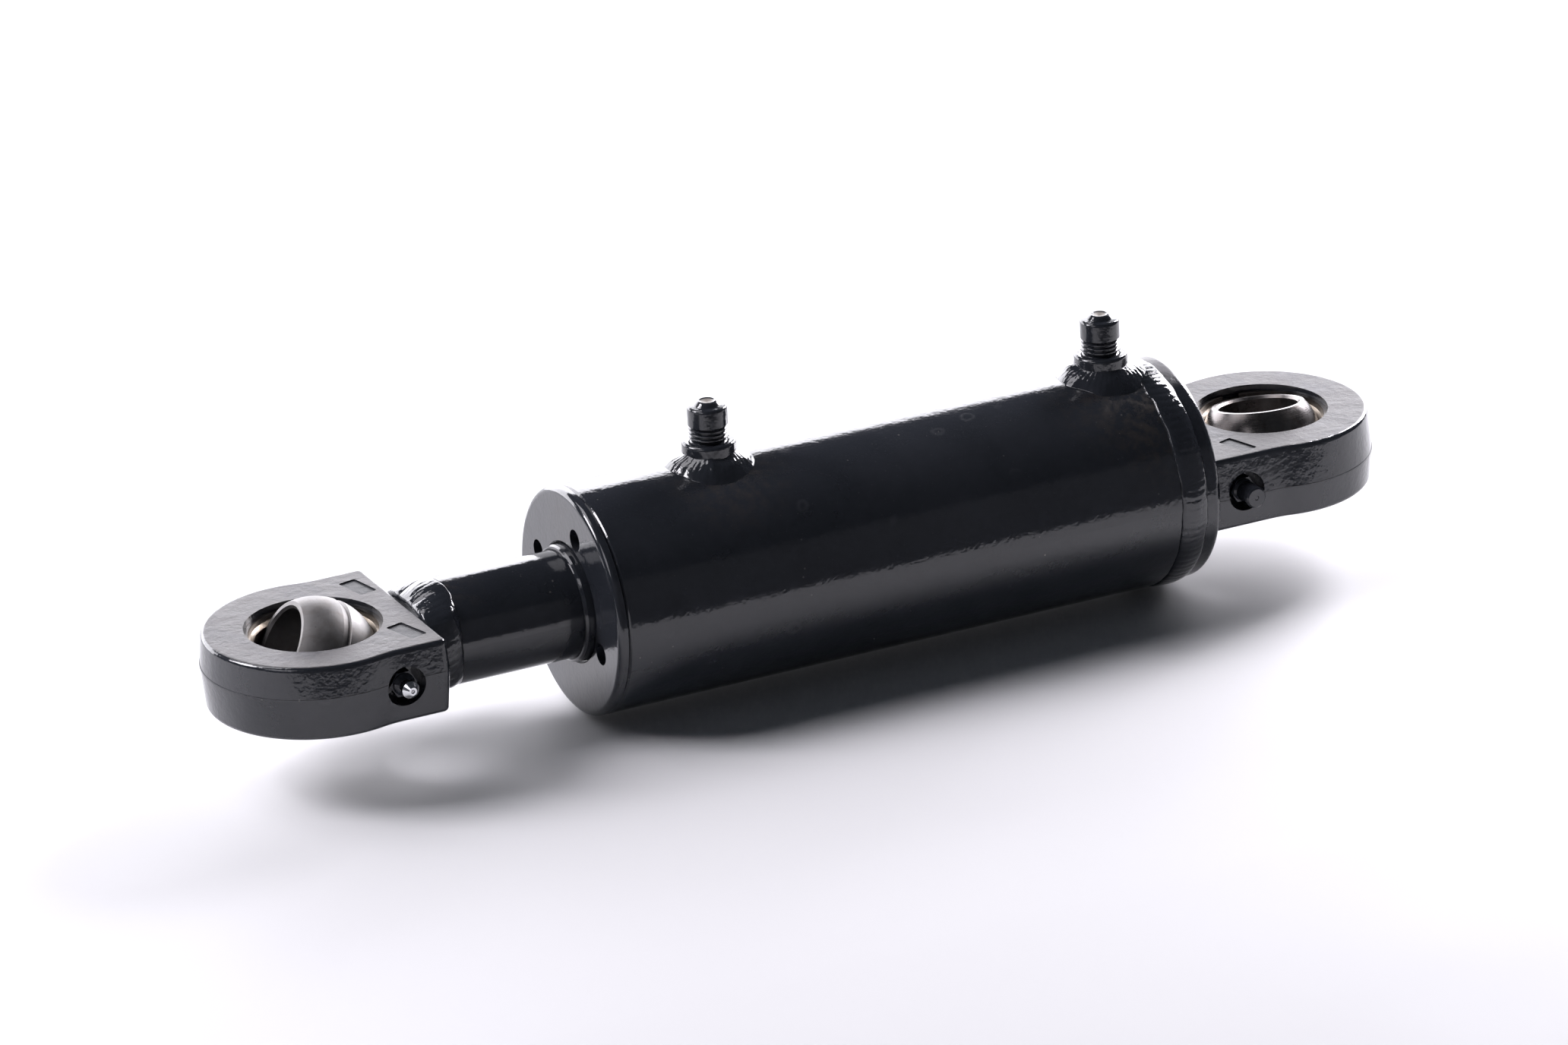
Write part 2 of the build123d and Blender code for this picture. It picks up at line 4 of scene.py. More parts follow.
import bpy
import numpy as np
from mathutils import Matrix, Vector


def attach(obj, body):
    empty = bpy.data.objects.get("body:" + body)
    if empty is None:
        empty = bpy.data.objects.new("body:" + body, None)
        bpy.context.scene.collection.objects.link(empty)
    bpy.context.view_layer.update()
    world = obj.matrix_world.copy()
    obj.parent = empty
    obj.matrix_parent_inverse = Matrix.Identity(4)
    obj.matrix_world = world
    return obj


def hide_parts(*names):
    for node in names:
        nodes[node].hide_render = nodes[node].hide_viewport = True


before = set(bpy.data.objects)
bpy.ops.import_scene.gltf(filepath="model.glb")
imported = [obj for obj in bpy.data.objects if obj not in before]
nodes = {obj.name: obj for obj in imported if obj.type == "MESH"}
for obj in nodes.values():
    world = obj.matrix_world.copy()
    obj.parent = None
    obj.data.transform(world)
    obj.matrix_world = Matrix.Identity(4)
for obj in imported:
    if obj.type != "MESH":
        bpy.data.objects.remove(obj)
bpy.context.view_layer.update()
MM = 0.001

# ------------------------------------------------------------------ node tools


class Mat:
    """A small helper for node materials in object coordinates (metres)."""

    def __init__(self, name):
        self.mat = bpy.data.materials.new(name)
        self.mat.use_nodes = True
        self.t = self.mat.node_tree
        self.t.nodes.clear()
        self.out = self.t.nodes.new("ShaderNodeOutputMaterial")
        self.b = self.t.nodes.new("ShaderNodeBsdfPrincipled")
        self.t.links.new(self.b.outputs[0], self.out.inputs[0])
        self.tc = self.t.nodes.new("ShaderNodeTexCoord")
        self.obj = self.tc.outputs["Object"]
        self.nrm = self.tc.outputs["Normal"]

    def link(self, a, b):
        self.t.links.new(a, b)

    def set(self, **kw):
        for k, v in kw.items():
            s = self.b.inputs[k.replace("_", " ")]
            if isinstance(v, (tuple, list)) and len(v) == 3:
                v = (*v, 1.0)
            s.default_value = v

    def mapping(self, src=None, scale=(1, 1, 1), loc=(0, 0, 0), rot=(0, 0, 0)):
        n = self.t.nodes.new("ShaderNodeMapping")
        n.inputs["Scale"].default_value = scale
        n.inputs["Location"].default_value = loc
        n.inputs["Rotation"].default_value = rot
        self.link(src or self.obj, n.inputs["Vector"])
        return n.outputs[0]

    def noise(self, scale, detail=3.0, rough=0.55, src=None, dist=0.0):
        n = self.t.nodes.new("ShaderNodeTexNoise")
        n.inputs["Scale"].default_value = scale
        n.inputs["Detail"].default_value = detail
        n.inputs["Roughness"].default_value = rough
        n.inputs["Distortion"].default_value = dist
        self.link(src or self.obj, n.inputs["Vector"])
        return n.outputs[0]

    def voronoi(self, scale, feature="F1", src=None, rand=1.0, out="Distance"):
        n = self.t.nodes.new("ShaderNodeTexVoronoi")
        n.feature = feature
        n.inputs["Scale"].default_value = scale
        n.inputs["Randomness"].default_value = rand
        self.link(src or self.obj, n.inputs["Vector"])
        return n.outputs[out]

    def ramp(self, src, stops, ease="LINEAR"):
        n = self.t.nodes.new("ShaderNodeValToRGB")
        n.color_ramp.interpolation = ease
        e = n.color_ramp.elements
        while len(e) < len(stops):
            e.new(0.5)
        for el, (p, c) in zip(e, stops):
            el.position = p
            el.color = (c, c, c, 1) if isinstance(c, (int, float)) else (*c, 1)
        self.link(src, n.inputs[0])
        return n.outputs[0]

    def math(self, op, a, b=None, clamp=False):
        n = self.t.nodes.new("ShaderNodeMath")
        n.operation = op
        n.use_clamp = clamp
        for i, v in enumerate((a, b)):
            if v is None:
                continue
            if isinstance(v, (int, float)):
                n.inputs[i].default_value = v
            else:
                self.link(v, n.inputs[i])
        return n.outputs[0]

    def mix(self, fac, a, b, blend="MIX"):
        n = self.t.nodes.new("ShaderNodeMix")
        n.data_type = "RGBA"
        n.blend_type = blend
        n.inputs[0].default_value = 0.5
        for v, i in ((fac, 0), (a, 6), (b, 7)):
            if isinstance(v, (int, float)):
                n.inputs[i].default_value = v if i == 0 else (v, v, v, 1)
            elif isinstance(v, (tuple, list)):
                n.inputs[i].default_value = (*v, 1)
            else:
                self.link(v, n.inputs[i])
        return n.outputs[2]

    def sep(self, src):
        n = self.t.nodes.new("ShaderNodeSeparateXYZ")
        self.link(src, n.inputs[0])
        return n.outputs

    def near(self, point, r0, r1):
        """1 within r0 of the point, 0 beyond r1, metres."""
        n = self.t.nodes.new("ShaderNodeVectorMath")
        n.operation = "DISTANCE"
        self.link(self.obj, n.inputs[0])
        n.inputs[1].default_value = point
        m = self.t.nodes.new("ShaderNodeMapRange")
        m.inputs["From Min"].default_value = r0
        m.inputs["From Max"].default_value = r1
        m.inputs["To Min"].default_value = 1.0
        m.inputs["To Max"].default_value = 0.0
        self.link(n.outputs["Value"], m.inputs["Value"])
        return m.outputs[0]

    def band(self, src, c, half, soft):
        """1 where src is within half of c, metres."""
        d = self.math("ABSOLUTE", self.math("SUBTRACT", src, c))
        m = self.t.nodes.new("ShaderNodeMapRange")
        m.inputs["From Min"].default_value = half
        m.inputs["From Max"].default_value = half + soft
        m.inputs["To Min"].default_value = 1.0
        m.inputs["To Max"].default_value = 0.0
        self.link(d, m.inputs["Value"])
        return m.outputs[0]

    def bump(self, height, distance, strength=1.0, prev=None):
        n = self.t.nodes.new("ShaderNodeBump")
        n.inputs["Strength"].default_value = strength
        n.inputs["Distance"].default_value = distance
        self.link(height, n.inputs["Height"])
        if prev is not None:
            self.link(prev, n.inputs["Normal"])
        return n.outputs[0]


PAINT = (0.0185, 0.0208, 0.0262)
PAINT_LIGHT = (0.0275, 0.0300, 0.0372)
DUST = (0.16, 0.155, 0.15)
BROWN = (0.060, 0.046, 0.034)


def paint(name, peel=1.0, faces=0.0, dirt=(), forged=0.0, dust=1.0, rough=0.07,
          bare=(), chrome_below=None):
    """Gloss enamel with orange peel, dust, dried water rings and overspray; flat
    faces can take a painted reflection, and stamped recesses a painted shade.
    """
    m = Mat(name)
    big = m.noise(22, 4, 0.6)
    fine = m.noise(240, 5, 0.6)
    col = m.mix(m.ramp(big, [(0.35, 0), (0.7, 1)]), PAINT, PAINT_LIGHT)
    # fine dust, denser where it could settle
    specks = m.ramp(m.noise(1500, 2, 0.5), [(0.70, 0), (0.80, 1)])
    up = m.ramp(m.sep(m.nrm)[2], [(0.1, 0.15), (0.8, 1)])
    specks = m.math("MULTIPLY", specks, m.math("MULTIPLY", up, 0.30 * dust))
    col = m.mix(specks, col, DUST)
    # a few bigger specks
    grit = m.ramp(m.voronoi(160), [(0.045, 1), (0.075, 0)])
    grit = m.math("MULTIPLY", grit, m.ramp(m.noise(30, 2), [(0.5, 0), (0.62, 1)]))
    grit = m.math("MULTIPLY", grit, 0.35 * dust)
    col = m.mix(grit, col, (0.24, 0.23, 0.21))
    # dried drops: faint rings
    wob = m.t.nodes.new("ShaderNodeVectorMath")
    wob.operation = "ADD"
    m.link(m.obj, wob.inputs[0])
    sc = m.t.nodes.new("ShaderNodeVectorMath")
    sc.operation = "SCALE"
    sc.inputs["Scale"].default_value = 0.0025
    nz = m.t.nodes.new("ShaderNodeTexNoise")
    nz.inputs["Scale"].default_value = 160
    m.link(m.obj, nz.inputs["Vector"])
    m.link(nz.outputs["Color"], sc.inputs[0])
    m.link(sc.outputs[0], wob.inputs[1])
    drops = m.voronoi(58, src=wob.outputs[0])
    ring = m.ramp(drops, [(0.10, 0), (0.135, 1), (0.15, 1), (0.20, 0.0)])
    few = m.ramp(m.noise(17, 2), [(0.52, 0), (0.6, 1)])
    ring = m.math("MULTIPLY", m.math("MULTIPLY", ring, few), 0.09 * dust)
    col = m.mix(ring, col, (0.12, 0.12, 0.13))
    # roughness
    r = m.ramp(m.noise(14, 5, 0.65), [(0.3, rough), (0.75, rough + 0.07)])
    r = m.math("ADD", r, m.math("MULTIPLY", specks, 0.5))
    r = m.math("ADD", r, m.math("MULTIPLY", ring, 0.7))
    # orange peel and slow waviness
    n1 = m.bump(m.noise(620, 2, 0.5), 0.00012 * peel, 0.55)
    n1 = m.bump(m.noise(130, 2, 0.5), 0.00022 * peel, 0.5, n1)
    if forged:
        n1 = m.bump(m.noise(55, 5, 0.62), 0.0016 * forged, 0.5, n1)
    for point, r0, r1 in dirt:
        d = m.near(point, r0, r1)
        d = m.math("MULTIPLY", d, m.ramp(fine, [(0.42, 0), (0.62, 1)]))
        d = m.math("MULTIPLY", d, 0.28)
        col = m.mix(d, col, BROWN)
        r = m.math("ADD", r, m.math("MULTIPLY", d, 0.35))
    for point, r0, r1 in bare:
        d = m.near(point, r0, r1)
        worn = m.mix(m.ramp(fine, [(0.35, 0), (0.65, 1)]),
                     (0.17, 0.145, 0.12), (0.29, 0.26, 0.23))
        col = m.mix(d, col, worn)
        r = m.mix(d, r, 0.55)
    if faces:
        # flat machined-and-scaled eye faces under thin paint: real mottle, plus a
        # lighter base colour and lowered specular as painted reflection of the
        # backdrop
        nz_ = m.math("ABSOLUTE", m.sep(m.nrm)[2])
        flat = m.ramp(nz_, [(0.90, 0), (0.98, 1)])
        mott = m.ramp(m.noise(75, 6, 0.68, dist=0.6), [(0.36, 0.0), (0.66, 1)])
        blot = m.ramp(m.noise(26, 3, 0.6, dist=0.9), [(0.36, 0.0), (0.52, 1)])
        face_mottle_and_painted_light = m.mix(mott, (0.026, 0.0255, 0.030), (0.118, 0.114, 0.124))
        face_mottle_and_painted_light = m.mix(m.math("MULTIPLY", blot, 0.40), face_mottle_and_painted_light, (0.128, 0.117, 0.108))
        streak = m.ramp(m.noise(60, 5, 0.7, src=m.mapping(scale=(0.25, 1.6, 1))),
                        [(0.56, 0), (0.66, 1)])
        face_mottle_and_painted_light = m.mix(m.math("MULTIPLY", streak, 0.30), face_mottle_and_painted_light, (0.055, 0.053, 0.055))
        nick = m.ramp(m.noise(420, 3, 0.6), [(0.66, 0), (0.74, 1)])
        face_mottle_and_painted_light = m.mix(m.math("MULTIPLY", nick, 0.5), face_mottle_and_painted_light, (0.03, 0.03, 0.033))
        # the recessed floor of a stamped panel keeps the plain dark enamel colour,
        # darker than the faces around it: painted shade in the recess
        floor = m.t.nodes.new("ShaderNodeMapRange")
        floor.inputs["From Min"].default_value = 0.01365
        floor.inputs["From Max"].default_value = 0.01385
        floor.inputs["To Min"].default_value = 1.0
        floor.inputs["To Max"].default_value = 0.0
        m.link(m.math("ABSOLUTE", m.sep(m.obj)[2]), floor.inputs["Value"])
        face_mottle_and_painted_light = m.mix(m.math("MULTIPLY", floor.outputs[0], 0.8), face_mottle_and_painted_light, PAINT)
        col = m.mix(m.math("MULTIPLY", flat, faces), col, face_mottle_and_painted_light)
        fr = m.ramp(mott, [(0, 0.36), (1, 0.46)])
        m.link(m.ramp(flat, [(0.0, 0.50), (1.0, 0.17)]),
               m.b.inputs["Specular IOR Level"])
        r = m.mix(flat, r, fr)
        nb = m.bump(m.noise(190, 6, 0.7), 0.00045, 0.7, n1)
        nb = m.bump(m.noise(38, 4, 0.6), 0.0007, 0.5, nb)
        nmix = m.t.nodes.new("ShaderNodeMix")
        nmix.data_type = "VECTOR"
        m.link(flat, nmix.inputs[0])
        m.link(n1, nmix.inputs[4])
        m.link(nb, nmix.inputs[5])
        n1 = nmix.outputs[1]
    if chrome_below is not None:
        # enamel stops where the wiper sat; hard chrome runs on inside
        wave = m.math("MULTIPLY", m.math("SUBTRACT", m.noise(260, 3), 0.5), 0.0008)
        edge = m.t.nodes.new("ShaderNodeMapRange")
        edge.inputs["From Min"].default_value = chrome_below - 0.0001
        edge.inputs["From Max"].default_value = chrome_below + 0.0001
        m.link(m.math("ADD", m.sep(m.obj)[0], wave), edge.inputs["Value"])
        on = edge.outputs[0]
        bright = m.mix(m.ramp(m.noise(120, 4), [(0.3, 0), (0.7, 1)]),
                       (0.60, 0.61, 0.63), (0.70, 0.71, 0.73))
        col = m.mix(on, bright, col)
        r = m.mix(on, m.ramp(m.noise(90, 4), [(0.3, 0.07), (0.75, 0.14)]), r)
        m.link(m.math("SUBTRACT", 1.0, on), m.b.inputs["Metallic"])
        fine_n = m.bump(m.noise(1800, 2), 0.000004, 0.4)
        pick = m.t.nodes.new("ShaderNodeMix")
        pick.data_type = "VECTOR"
        m.link(on, pick.inputs[0])
        m.link(fine_n, pick.inputs[4])
        m.link(n1, pick.inputs[5])
        n1 = pick.outputs[1]
    m.link(col, m.b.inputs["Base Color"])
    m.link(r, m.b.inputs["Roughness"])
    m.link(n1, m.b.inputs["Normal"])
    m.set(IOR=1.66)
    return m.mat


def steel(name, base, dark, stain, rough=(0.22, 0.42), spin=None, stain_amt=0.5,
          bump=1.0, metallic=1.0):
    """Ground steel: turning lines about an axis, stains and small pits."""
    m = Mat(name)
    col = m.mix(m.ramp(m.noise(60, 5, 0.65), [(0.3, 0), (0.7, 1)]), dark, base)
    st = m.ramp(m.noise(95, 5, 0.7, dist=1.2), [(0.48, 0), (0.68, 1)])
    col = m.mix(m.math("MULTIPLY", st, stain_amt), col, stain)
    r = m.ramp(m.noise(120, 5, 0.7), [(0.3, rough[0]), (0.75, rough[1])])
    if spin is not None:
        q = Vector((0, 0, 1)).rotation_difference(Vector(spin)).inverted()
        e = q.to_euler()
        flat = m.mapping(rot=tuple(e))
        z = m.sep(flat)[2]
        w = m.t.nodes.new("ShaderNodeCombineXYZ")
        m.link(z, w.inputs[2])
        lines = m.noise(2600, 3, 0.7, src=w.outputs[0])
        r = m.math("ADD", r, m.math("MULTIPLY", m.math("SUBTRACT", lines, 0.5), 0.25))
        n = m.bump(lines, 0.00003 * bump, 0.6)
    else:
        n = m.bump(m.noise(1400, 3, 0.6), 0.00003 * bump, 0.5)
    pits = m.ramp(m.noise(900, 3, 0.6), [(0.66, 0), (0.76, 1)])
    col = m.mix(m.math("MULTIPLY", pits, 0.55), col, (0.03, 0.025, 0.02))
    n = m.bump(m.noise(210, 4, 0.6), 0.00012 * bump, 0.4, n)
    m.link(col, m.b.inputs["Base Color"])
    m.link(r, m.b.inputs["Roughness"])
    m.link(n, m.b.inputs["Normal"])
    m.set(Metallic=metallic)
    return m.mat


def plastic(name, base, light, rough=0.3, grain=700, bump=0.00006, dust=0.12):
    m = Mat(name)
    col = m.mix(m.ramp(m.noise(90, 4), [(0.35, 0), (0.7, 1)]), base, light)
    sp = m.ramp(m.noise(1600, 2), [(0.68, 0), (0.78, 1)])
    col = m.mix(m.math("MULTIPLY", sp, dust), col, DUST)
    r = m.ramp(m.noise(150, 4), [(0.3, rough - 0.05), (0.7, rough + 0.10)])
    n = m.bump(m.noise(grain, 3, 0.6), bump, 0.6)
    n = m.bump(m.noise(140, 3), bump * 3, 0.5, n)
    m.link(col, m.b.inputs["Base Color"])
    m.link(r, m.b.inputs["Roughness"])
    m.link(n, m.b.inputs["Normal"])
    return m.mat


# ------------------------------------------------------------------ materials
BASE_N = Vector((-0.021, -0.198, 0.980)).normalized()
ROD_N = Vector((0.867, -0.099, 0.489)).normalized()

M_BARREL = paint("barrel_enamel", dirt=[((0.0673, 0.016, 0.042), 0.010, 0.034),
                                       ((0.2285, 0.014, 0.042), 0.008, 0.028),
                                       ((0.056, 0.030, 0.030), 0.004, 0.030)])
# faces=1.0: the flat eye faces get the painted backdrop reflection, and stamped
# recesses the painted shade
M_END = paint("end_enamel", faces=1.0, forged=0.35, peel=1.2)
M_GLAND = paint("gland_enamel", peel=0.7, dust=0.8,
                dirt=[((0.287, -0.004, 0.030), 0.004, 0.016)])
M_ROD = paint("rod_enamel", peel=0.8, dust=0.9,
              dirt=[((0.345, 0.006, 0.018), 0.006, 0.022)], chrome_below=0.2855)
M_WELD = paint("weld_enamel", peel=2.0, forged=0.4, dust=0.5, rough=0.06)
M_PORT = paint("port_enamel", peel=1.4, forged=0.12, dust=0.4)
M_PLUG = paint("plug_enamel", peel=1.3, dust=0.35, rough=0.10,
               bare=[((0.0673, 0.0, 0.0652), 0.0019, 0.0027),
                     ((0.2285, 0.0, 0.0652), 0.0019, 0.0027)])
M_BALL_R = steel("bearing_steel_rod", (0.235, 0.228, 0.225), (0.150, 0.144, 0.141),
                 (0.14, 0.115, 0.095), rough=(0.44, 0.60), spin=ROD_N,
                 stain_amt=0.35)
M_BALL_B = steel("bearing_steel_base", (0.21, 0.196, 0.190),
                 (0.105, 0.096, 0.094), (0.115, 0.082, 0.060),
                 rough=(0.24, 0.40), spin=BASE_N, stain_amt=0.4)
M_RACE = steel("race_steel", (0.36, 0.32, 0.27), (0.18, 0.145, 0.11),
               (0.12, 0.08, 0.05), rough=(0.25, 0.45), spin=(0, 0, 1))
M_SNAP = steel("snap_steel", (0.11, 0.105, 0.10), (0.05, 0.047, 0.045),
               (0.10, 0.06, 0.035), rough=(0.3, 0.5), stain_amt=0.3)

def masked_nipple(name, y_mask):
    """Zinc head that a cap kept clean; hexagon and threads took the paint."""
    m = Mat(name)
    y = m.sep(m.obj)[1]
    wob = m.math("MULTIPLY", m.math("SUBTRACT", m.noise(300, 3), 0.5), 0.0010)
    edge = m.t.nodes.new("ShaderNodeMapRange")
    edge.inputs["From Min"].default_value = y_mask - 0.00015
    edge.inputs["From Max"].default_value = y_mask + 0.00015
    m.link(m.math("ADD", y, wob), edge.inputs["Value"])
    bare = edge.outputs[0]
    zinc = m.mix(m.ramp(m.noise(240, 4), [(0.3, 0), (0.7, 1)]),
                 (0.66, 0.67, 0.69), (0.86, 0.87, 0.88))
    grime = m.ramp(m.noise(420, 4, 0.7), [(0.58, 0), (0.70, 1)])
    zinc = m.mix(m.math("MULTIPLY", grime, 0.35), zinc, (0.30, 0.27, 0.23))
    enamel = m.mix(m.ramp(m.noise(60, 4), [(0.35, 0), (0.7, 1)]),
                   PAINT, PAINT_LIGHT)
    m.link(m.mix(bare, enamel, zinc), m.b.inputs["Base Color"])
    m.link(bare, m.b.inputs["Metallic"])
    r = m.mix(bare, m.ramp(m.noise(90, 3), [(0.3, 0.08), (0.7, 0.16)]),
              m.ramp(m.noise(500, 4), [(0.3, 0.12), (0.7, 0.30)]))
    m.link(r, m.b.inputs["Roughness"])
    n = m.bump(m.noise(1100, 3), 0.00003, 0.5)
    m.link(m.bump(bare, 0.00008, 0.6, n), m.b.inputs["Normal"])
    return m.mat


M_ZINC = masked_nipple("nipple_zinc", 0.0384)
M_CHECK = steel("check_ball_steel", (0.82, 0.82, 0.83), (0.6, 0.6, 0.61),
                (0.4, 0.38, 0.36), rough=(0.06, 0.16), stain_amt=0.2, bump=0.3)
M_CAP = paint("cap_enamel", peel=1.0, dust=0.5, rough=0.12)
M_PU = plastic("seal_polyurethane", (0.022, 0.022, 0.026), (0.035, 0.035, 0.04),
               0.32)
M_NBR = plastic("seal_nitrile", (0.012, 0.012, 0.012), (0.022, 0.022, 0.022), 0.5)
M_RESIN = plastic("guide_resin", (0.20, 0.085, 0.035), (0.28, 0.13, 0.06), 0.5,
                  grain=1100, bump=0.00015)
M_PTFE = plastic("backup_ptfe", (0.70, 0.69, 0.65), (0.80, 0.79, 0.76), 0.45)
M_IRON = steel("piston_iron", (0.34, 0.34, 0.35), (0.20, 0.20, 0.21),
               (0.12, 0.10, 0.08), rough=(0.28, 0.48), spin=(1, 0, 0))
M_NUT = steel("nut_steel", (0.14, 0.14, 0.145), (0.08, 0.08, 0.085),
              (0.10, 0.07, 0.05), rough=(0.30, 0.5))

FINISH = {
    "barrel_tube": M_BARREL, "base_end_eye": M_END, "end_cap_weld": M_WELD,
    "head_gland": M_GLAND, "head_port_boss": M_PORT, "base_port_boss": M_PORT,
    "head_port_weld": M_WELD, "base_port_weld": M_WELD,
    "head_port_plug": M_PLUG, "base_port_plug": M_PLUG,
    "wiper_seal": M_GLAND, "rod_seal": M_PU,
    "rod_guide_ring_inner": M_RESIN, "rod_guide_ring_outer": M_RESIN,
    "gland_o_ring": M_NBR, "gland_backup_ring": M_PTFE,
    "base_bearing_outer_ring": M_RACE, "base_bearing_inner_ring": M_BALL_B,
    "base_snap_rings": M_SNAP, "base_grease_nipple": M_ZINC,
    "base_nipple_check_ball": M_CHECK, "base_nipple_cap": M_CAP,
    "piston_rod": M_ROD, "rod_eye": M_END, "rod_eye_weld": M_WELD,
    "piston": M_IRON, "piston_seal": M_PU, "piston_guide_rings": M_RESIN,
    "piston_o_ring": M_NBR, "piston_nut": M_NUT,
    "rod_bearing_outer_ring": M_RACE, "rod_bearing_inner_ring": M_BALL_R,
    "rod_snap_rings": M_SNAP, "rod_grease_nipple": M_ZINC,
    "rod_nipple_check_ball": M_CHECK,
}
for name, mat in FINISH.items():
    o = nodes[name]
    if not o.material_slots:
        o.data.materials.append(mat)
    for s in o.material_slots:
        s.material = mat

# ------------------------------------------------------------------ mesh tools
rng = np.random.default_rng(7)


def smooth_noise(n, knots, amp, seed, harmonics=None):
    """Periodic smooth noise along a closed line of n points."""
    g = np.random.default_rng(seed)
    t = np.linspace(0, 2 * np.pi, n, endpoint=False)
    y = np.zeros(n)
    for k in range(1, knots + 1):
        a = g.normal() / math.sqrt(k)
        y += a * np.cos(k * t + g.uniform(0, 2 * np.pi))
    y /= max(1e-9, np.abs(y).max())
    return amp * y


def grid_mesh(name, pts, body, mat, replaces=()):
    """pts[u, v] in mm, closed both ways, as one smooth closed mesh."""
    nu, nv = pts.shape[:2]
    verts = pts.reshape(-1, 3) * MM
    i = np.arange(nu)[:, None]
    j = np.arange(nv)[None, :]
    a = i * nv + j
    b = ((i + 1) % nu) * nv + j
    c = ((i + 1) % nu) * nv + (j + 1) % nv
    d = i * nv + (j + 1) % nv
    faces = np.stack([a, b, c, d], -1).reshape(-1, 4)
    me = bpy.data.meshes.new(name)
    me.from_pydata([tuple(v) for v in verts], [], [tuple(f) for f in faces])
    me.update()
    me.polygons.foreach_set("use_smooth", [True] * len(me.polygons))
    ob = bpy.data.objects.new(name, me)
    bpy.context.scene.collection.objects.link(ob)
    me.materials.append(mat)
    # normals outwards
    import bmesh
    bm = bmesh.new()
    bm.from_mesh(me)
    bmesh.ops.recalc_face_normals(bm, faces=bm.faces)
    bm.to_mesh(me)
    bm.free()
    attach(ob, body)
    if replaces:
        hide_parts(*replaces)
    return ob


def lumps(n_u, n_v, cells, amp, seed):
    """Smooth lumpy field, periodic in u."""
    g = np.random.default_rng(seed)
    u = np.linspace(0, 2 * np.pi, n_u, endpoint=False)[:, None]
    v = np.linspace(0, 1, n_v)[None, :]
    f = np.zeros((n_u, n_v))
    for _ in range(cells):
        u0, v0 = g.uniform(0, 2 * np.pi), g.uniform(0.1, 0.9)
        su, sv = g.uniform(0.12, 0.32), g.uniform(0.15, 0.4)
        d = np.abs((u - u0 + np.pi) % (2 * np.pi) - np.pi)
        f += g.uniform(-0.4, 1.0) * np.exp(-(d / su) ** 2 - ((v - v0) / sv) ** 2)
    return amp * f


# ------------------------------------------------------------------ weld beads
def end_cap_bead():
    nu = 900
    t = np.linspace(0, 2 * np.pi, nu, endpoint=False)
    # cross section: (x, radius), crown over the V groove
    nv_top = 15
    s = np.linspace(0, 1, nv_top)
    left = 46.6 + smooth_noise(nu, 34, 0.45, 3)
    right = 58.0 + smooth_noise(nu, 40, 0.7, 4)
    high = 1.15 + smooth_noise(nu, 26, 0.22, 5)
    field = lumps(nu, nv_top, 70, 0.22, 6)
    pts = np.zeros((nu, nv_top + 3, 3))
    for k, sv in enumerate(s):
        x = left + (right - left) * sv
        base = 41.9 + 0.55 * sv
        crown = np.power(np.clip(4 * sv * (1 - sv), 0, 1), 0.55)
        phase = t * 88 + 2.2 * (sv - 0.5) ** 2 * 4
        rip = 0.10 * np.abs(np.sin(phase / 2)) * crown
        r = base + high * crown * 0.85 + rip + field[:, k] * crown
        r = np.minimum(r, 43.75)
        pts[:, k, 0] = x
        pts[:, k, 1] = r * np.sin(t)
        pts[:, k, 2] = r * np.cos(t)
    for k, (x, r) in enumerate(((57.0, 41.6), (52.0, 35.9), (47.2, 41.3))):
        pts[:, nv_top + k, 0] = x
        pts[:, nv_top + k, 1] = r * np.sin(t)
        pts[:, nv_top + k, 2] = r * np.cos(t)
    return grid_mesh("end_cap_weld_bead", pts, "barrel", M_WELD,
                     ("end_cap_weld",))


def port_bead(name, px, seed, node, clip_x=None):
    nu, nv = 360, 22
    t = np.linspace(0, 2 * np.pi, nu, endpoint=False)
    rho = 16.9 + smooth_noise(nu, 9, 0.9, seed) + smooth_noise(nu, 30, 0.25, seed + 1)
    field = lumps(nu, nv, 16, 0.9, seed + 2)
    top_z = 47.0 + smooth_noise(nu, 7, 0.5, seed + 3)
    pts = np.zeros((nu, nv + 2, 3))
    for k in range(nv):
        s = k / (nv - 1)
        zs = np.sqrt(42.5 ** 2 - (rho * np.sin(t)) ** 2) - 0.06
        r = 9.85 + (rho - 9.85) * s
        # slightly bellied fillet
        z_lin = top_z + (zs - top_z) * s
        belly = 1.5 * np.sin(np.pi * s) ** 1.2 * (0.35 + 0.65 * s)
        hump = field[:, k] * np.sin(np.pi * min(1, s * 1.08)) if s < 0.93 else 0
        z = z_lin + belly * 0.55 + np.asarray(hump) * 0.8
        r = r + np.asarray(hump) * 0.5
        rip = 0.10 * np.abs(np.sin(t * 21 + 3.0 * s)) * np.sin(np.pi * s)
        pts[:, k, 0] = px + r * np.cos(t)
        pts[:, k, 1] = r * np.sin(t)
        pts[:, k, 2] = z + rip
    r_in = np.full(nu, 9.7)
    zs = np.sqrt(42.5 ** 2 - (rho * np.sin(t)) ** 2) - 1.2
    pts[:, nv, 0] = px + (rho - 0.8) * np.cos(t)
    pts[:, nv, 1] = (rho - 0.8) * np.sin(t)
    pts[:, nv, 2] = zs
    pts[:, nv + 1, 0] = px + r_in * np.cos(t)
    pts[:, nv + 1, 1] = r_in * np.sin(t)
    pts[:, nv + 1, 2] = 41.0
    return grid_mesh(name, pts, "barrel", M_WELD, (node,))


